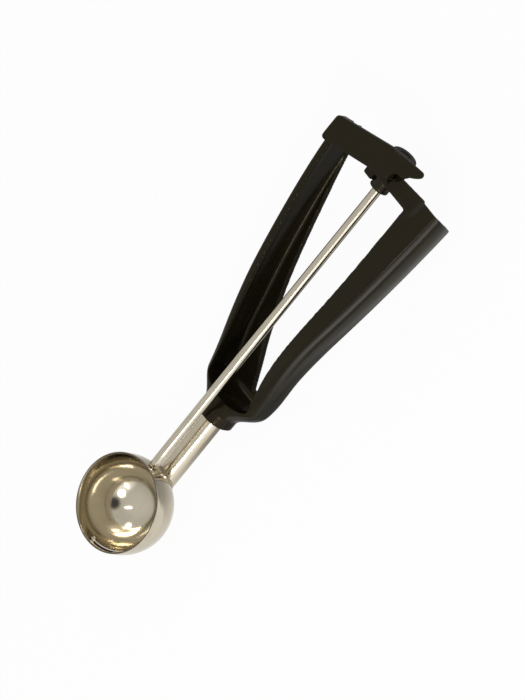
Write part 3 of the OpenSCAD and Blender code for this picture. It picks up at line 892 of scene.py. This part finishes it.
# %% Raw solids of the bar
bar_slope, bar_rise = math.radians(17.5), math.radians(19)
bar_back, bar_front = 7.6, 9.8
mouth, bar_foot, bar_width = 35.0, 187.9, 13.4
bar_left, strap_x, tab_x, bar_end = -34.4, -26.4, -2.8, 6.4


def bar_low(x): return bar_foot + (x + mouth) * math.tan(bar_slope)
def bar_high(x): return bar_foot + bar_width + (x + mouth) * math.tan(bar_rise)


tab_y = bar_high(tab_x)
left_corners = [(bar_left, bar_high(bar_left) + 0.3, 2.4), (bar_left, bar_low(bar_left), 2.2)]
bar_outline = rounded([(bar_end, bar_low(bar_end), 0.9), (bar_end, tab_y, 0), (tab_x, tab_y, 0)]
                      + left_corners)
bar_plate = prism("bar_plate", bar_outline, 6.1, bar_front)
strap_outline = rounded([(strap_x, bar_low(strap_x), 0.6), (strap_x, bar_high(strap_x), 0.6)]
                        + left_corners)
bar_root = prism("bar_root", strap_outline, 4.8, bar_front)
tab_tip = Vector((18.8, tab_y + 0.9))
tab_pull, tab_heel = Vector((13.5, tab_y - 5.4)), Vector((4.5, tab_y - 5.8))
tab_outline = [(tab_x, tab_y)]
tab_outline += arc_points(17.5, tab_y + 1.9, 1.5, math.radians(100), math.radians(-30), 8)
tab_outline += [tuple(on_curve(tab_tip, tab_pull, tab_heel, 0.42 * k / 6)) for k in range(7)]
tab_outline += [(x, tab_y - drop) for x, drop in
                ((12.9, 4.6), (12.2, 5.5), (11.3, 6.0), (10, 6.15), (8.6, 6.3), (7.5, 6.9),
                 (6.8, 8.0), (6.2, 10.5), (3.0, 10.5))]
bar_tab = loft("bar_tab", [[(x, y, z) for x, y in tab_outline] for z in (6.6, 7.6, 8.7, 9.8)])


def fall_to_tip(piece, start, stop, drop):
    """Let the front of a piece sink smoothly towards its free end."""
    for v in piece.data.vertices:
        if v.co.z > (bar_back + 0.2) * MM:
            t = max(0.0, min(1.0, (v.co.x / MM - start) / (stop - start)))
            v.co.z -= drop * MM * t * t * (3 - 2 * t)


fall_to_tip(bar_tab, 6.5, 15, 1.1)
print("bar from x", bar_left, "to", 19)

# %% [markdown]
# ## The wishbone: one skin
# A mould gives no joint lines where neck, legs, arm and bar meet. A voxel remesh melts the raw
# solids into a single skin, and a few rounds of smoothing turn its corners into small fillets.
# Bores and pockets are cut afterwards, because they need their exact clearances.

# %% Melt the solids together
voxel = 0.37


def melt(name, pieces, rounds):
    whole = join(name, pieces)
    melted = whole.modifiers.new("melt", "REMESH")
    melted.mode = "VOXEL"
    melted.voxel_size = voxel * MM
    soft = whole.modifiers.new("soften", "SMOOTH")
    soft.factor = 0.5
    soft.iterations = rounds
    return keep(whole, 180)


web_left, web_right = moving_leg("web_left", 82), fixed_leg("web_right", 82)
neck_again = as_piece("neck_again", neck.data.copy(), None)
fixed_skin = melt("fixed_skin", [neck, fixed, web_left, arm_plate, arm_shelf, arm_foot], 7)
moving_skin = melt("moving_skin", [neck_again, moving, web_right, bar_plate, bar_root, bar_tab], 7)
print("skin faces:", len(fixed_skin.data.polygons), len(moving_skin.data.polygons))

# %% Part the skin at the bend
def part_skin(skin, keep_moving, name):
    """Cut below the moving leg's bend and keep one side, with the cut closed."""
    bm = bmesh.new()
    bm.from_mesh(skin.data)
    low, side, top = web_low * MM, 2.0 * MM, 75.0 * MM

    def near(faces):
        geom = set(faces)
        for f in faces:
            geom.update(f.verts)
            geom.update(f.edges)
        return list(geom)

    band = [f for f in bm.faces if abs(f.calc_center_median().y - low) < 2 * MM]
    bmesh.ops.bisect_plane(bm, geom=near(band), plane_co=(0, low, 0), plane_no=(0, 1, 0), dist=1e-7)
    band = [f for f in bm.faces if low - MM < f.calc_center_median().y < top + MM
            and abs(f.calc_center_median().x - side) < 2 * MM]
    bmesh.ops.bisect_plane(bm, geom=near(band), plane_co=(side, 0, 0), plane_no=(1, 0, 0), dist=1e-7)
    seam = [e for e in bm.edges if
            (all(abs(v.co.y - low) < 1e-6 and v.co.x < side + 1e-6 for v in e.verts)
             or all(abs(v.co.x - side) < 1e-6 and low - 1e-6 < v.co.y < top for v in e.verts))]
    bmesh.ops.split_edges(bm, edges=seam)
    seed = min((v for v in bm.verts if low + 3 * MM < v.co.y < top), key=lambda v: v.co.x)
    moving_verts, edge = {seed}, [seed]
    while edge:
        v = edge.pop()
        for e in v.link_edges:
            other = e.other_vert(v)
            if other not in moving_verts:
                moving_verts.add(other)
                edge.append(other)
    drop = [v for v in bm.verts if (v in moving_verts) != keep_moving]
    bmesh.ops.delete(bm, geom=drop, context="VERTS")
    bmesh.ops.holes_fill(bm, edges=[e for e in bm.edges if e.is_boundary], sides=0)
    bmesh.ops.triangulate(bm, faces=[f for f in bm.faces if len(f.verts) > 8])
    bmesh.ops.remove_doubles(bm, verts=bm.verts, dist=0.02 * MM)
    mesh = bpy.data.meshes.new(name)
    bm.to_mesh(mesh)
    bm.free()
    bpy.data.objects.remove(skin)
    return as_piece(name, mesh, black_moulding)


handle = part_skin(fixed_skin, False, "handle_moulding")
lever = part_skin(moving_skin, True, "squeeze_leg_and_bar")
print("parted into", len(handle.data.vertices), "and", len(lever.data.vertices), "points")

# %% Bores and pockets
slot_half, slot_low = 7.2, arm_y + arm_floor
cut(handle, bore(tube + 0.02, 50, tube_end + 0.02, tube_z))
cut(handle, block("slot", (-slot_half, slot_low, -40), (slot_half, 260, 2.9)))
cut(handle, block("slot_front", (-slot_half, hinge_y + rack_in - 0.3, 2.8), (5.95, 260, 40)))
cut(handle, bore(tip + 0.15, slot_low + 0.02, hinge_y + rack_in, sides=72))
cut(handle, bore(3.5, arm_y - 0.6, arm_y + 5))
cut(handle, bore(4.67, arm_y - 8, arm_y - 0.02, sides=72))


def swept_channel(start=-2.5, stop=9.2, run_out=2.4, steps=24):
    """Cutter for the rack's way through the arm, sloped at its lower side, with a run-out."""
    rows = []
    for k in range(steps + 5):
        beyond = max(0, k - steps) / 4
        a = math.radians(start + (stop - start) * min(k, steps) / steps + run_out * beyond)
        z = 4.2 + 1.9 * beyond * beyond * (3 - 2 * beyond)
        gentle = max(0.0, min(1.0, (math.degrees(a) - 1.5) / 3))
        section = [(rack_in - 0.5, z), (155, z), (155, z + 4), (rack_in - 3 - 17.5 * gentle, z + 4)]
        rows.append([(r * math.sin(a), hinge_y + r * math.cos(a), h) for r, h in section])
    return loft("channel", rows)


cut(handle, swept_channel())
pocket = prism("pocket", sector(137.5, 190, math.radians(-40), math.radians(11.29)), -1, bar_back)
cut(lever, pocket)


def close_up(piece):
    """Merge the hair-fine slivers that a cut leaves, and close what they leave open."""
    bm = bmesh.new()
    bm.from_mesh(piece.data)
    bmesh.ops.remove_doubles(bm, verts=bm.verts, dist=0.03 * MM)
    bmesh.ops.dissolve_degenerate(bm, dist=0.002 * MM, edges=bm.edges)
    loose = [f for f in bm.faces if any(len(e.link_faces) > 2 for e in f.edges) and f.calc_area() < 1e-12]
    bmesh.ops.delete(bm, geom=loose, context="FACES")
    bmesh.ops.holes_fill(bm, edges=[e for e in bm.edges if e.is_boundary], sides=0)
    bm.to_mesh(piece.data)
    bm.free()
    keep(piece)


close_up(handle)
for piece in (handle, lever):
    print(piece.name, "faces:", len(piece.data.polygons))

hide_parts("handle_frame")
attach(handle, "frame")
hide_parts("squeeze_lever", "flex_web")
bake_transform(lever)

# %% [markdown]
# ## Floor, world and lamps
# Steel shows whatever stands round it, so the room matters as much as the lamps. The floor and the
# world are white to the camera. Reflections see a floor that darkens along the handle, and a room
# with a darker band near the horizon, which draws the dark lines on tube and rod. A few soft lamps
# shape the highlights.

# %% Floor
floor_z, floor_half, floor_glow = -25.2, 4000, 0.95
corners = [(x * floor_half, y * floor_half, floor_z) for x, y in ((-1, -1), (1, -1), (1, 1), (-1, 1))]
floor = new_piece("studio_floor", corners, [[0, 1, 2, 3]], None, smooth=False)
floor_finish, tree = new_finish("floor_white")
tree.nodes.remove(tree.nodes["Principled BSDF"])
paper = add(tree, "ShaderNodeBsdfDiffuse", Color=(0.82, 0.82, 0.82, 1))
ray = add(tree, "ShaderNodeLightPath").outputs
spot = add(tree, "ShaderNodeSeparateXYZ", {0: add(tree, "ShaderNodeTexCoord").outputs["Object"]})
# To reflections the floor glows rather than being lit. That glow is painted dimmer along the handle, from
# 0.9 down to 0.32, as a painted shade that the steel reflects, and beside the handle it glows at 0.95.
fade = add(tree, "ShaderNodeMapRange", {"Value": spot.outputs["Y"]},
           {"interpolation_type": "SMOOTHSTEP"},
           From_Min=0.0, From_Max=0.05, To_Min=0.9, To_Max=0.32)
outside = add(tree, "ShaderNodeMapRange", {"Value": spot.outputs["X"]},
              {"interpolation_type": "SMOOTHSTEP"},
              From_Min=0.022, From_Max=0.036, To_Min=0.0, To_Max=0.95)
tone = maths(tree, "MAXIMUM", outside.outputs[0], fade.outputs[0])
tone = maths(tree, "MAXIMUM", ray["Is Camera Ray"], tone)
glow = add(tree, "ShaderNodeEmission", {"Strength": tone}, Color=(1, 1, 1, 1))
seen = maths(tree, "MAXIMUM", ray["Is Camera Ray"], ray["Is Glossy Ray"])
seen = maths(tree, "MAXIMUM", seen, ray["Is Transmission Ray"])
share = add(tree, "ShaderNodeMath", {0: seen}, {"operation": "MULTIPLY"})
share.inputs[1].default_value = floor_glow
lit = add(tree, "ShaderNodeMixShader", {0: share.outputs[0], 1: paper.outputs[0], 2: glow.outputs[0]})
clear = add(tree, "ShaderNodeBsdfTransparent")
behind = add(tree, "ShaderNodeNewGeometry")
sheet_of_paper = add(tree, "ShaderNodeMixShader", {0: behind.outputs["Backfacing"],
                                                   1: lit.outputs[0], 2: clear.outputs[0]})
tree.links.new(sheet_of_paper.outputs[0], tree.nodes["Material Output"].inputs["Surface"])
floor.data.materials.append(floor_finish)
print("floor at z", floor_z, "mm")

# %% World
world = bpy.data.worlds.new("studio")
scene.world = world
world.use_nodes = True
tree = world.node_tree
tree.nodes.clear()
direction = add(tree, "ShaderNodeTexCoord").outputs["Generated"]
parts = add(tree, "ShaderNodeSeparateXYZ", {0: direction})
bands = add(tree, "ShaderNodeValToRGB", {0: parts.outputs["Z"]})
ramp = bands.color_ramp
ramp.elements[0].position, ramp.elements[0].color = 0.0, (0.42, 0.41, 0.39, 1)
ramp.elements[1].position, ramp.elements[1].color = 1.0, (0.78, 0.78, 0.78, 1)
for spot, grey in ((0.06, 0.45), (0.16, 0.62), (0.4, 0.7), (0.8, 0.68)):
    ramp.elements.new(spot).color = (grey, grey, grey * 0.98, 1)


def lobe(tree, direction, towards, inner, outer):
    """1 within `inner` degrees of a direction, falling smoothly to 0 at `outer`."""
    facing = add(tree, "ShaderNodeVectorMath", {0: direction}, {"operation": "DOT_PRODUCT"})
    facing.inputs[1].default_value = Vector(towards).normalized()
    soft_edge = add(tree, "ShaderNodeMapRange", {"Value": facing.outputs["Value"]},
                    {"interpolation_type": "SMOOTHSTEP"},
                    From_Min=math.cos(math.radians(outer)), From_Max=math.cos(math.radians(inner)))
    return soft_edge.outputs[0]


window = lobe(tree, direction, (0.86, -0.34, 0.36), 14, 34)
dark_spot = lobe(tree, direction, (0.667, 0.525, 0.529), 7, 19)
look = mix_colours(tree, window, bands.outputs[0], (1.3, 1.3, 1.3))
look = mix_colours(tree, dark_spot, look, (0.06, 0.06, 0.06))
room = add(tree, "ShaderNodeBackground", {"Color": look}, Strength=1.0)
soft = add(tree, "ShaderNodeBackground", Color=(1, 1, 1, 1), Strength=0.62)
white = add(tree, "ShaderNodeBackground", Color=(1, 1, 1, 1), Strength=1.0)
ray = add(tree, "ShaderNodeLightPath").outputs
shiny = maths(tree, "MAXIMUM", ray["Is Glossy Ray"], ray["Is Transmission Ray"])
first = add(tree, "ShaderNodeMixShader", {0: shiny, 1: soft.outputs[0], 2: room.outputs[0]})
last = add(tree, "ShaderNodeMixShader",
           {0: ray["Is Camera Ray"], 1: first.outputs[0], 2: white.outputs[0]})
add(tree, "ShaderNodeOutputWorld", {"Surface": last.outputs[0]})
print("world bands:", len(ramp.elements))

# %% Lamps
lamp_distance, aim = 0.9, Vector((0, 0.08, 0))


def lamp(name, direction, size, power, tint=(1, 1, 1)):
    data = bpy.data.lights.new(name, "AREA")
    data.shape = "ELLIPSE"
    data.size, data.size_y = size
    data.energy = power
    data.color = tint
    light = bpy.data.objects.new(name, data)
    light.location = spot = Vector(direction).normalized() * lamp_distance + aim
    light.rotation_euler = (aim - spot).to_track_quat("-Z", "Y").to_euler()
    light.visible_camera = False
    scene.collection.objects.link(light)


lamp("key", (0.75, -0.03, 0.66), (0.26, 0.26), 2.2)
lamp("second", (0.70, -0.40, 0.59), (0.12, 0.2), 0.6)
lamp("strip", (0.25, 0.25, 0.94), (0.06, 0.3), 0.3)
lamp("fill", (-0.4, 0.62, 0.66), (0.22, 0.3), 0.5, (1, 0.93, 0.9))
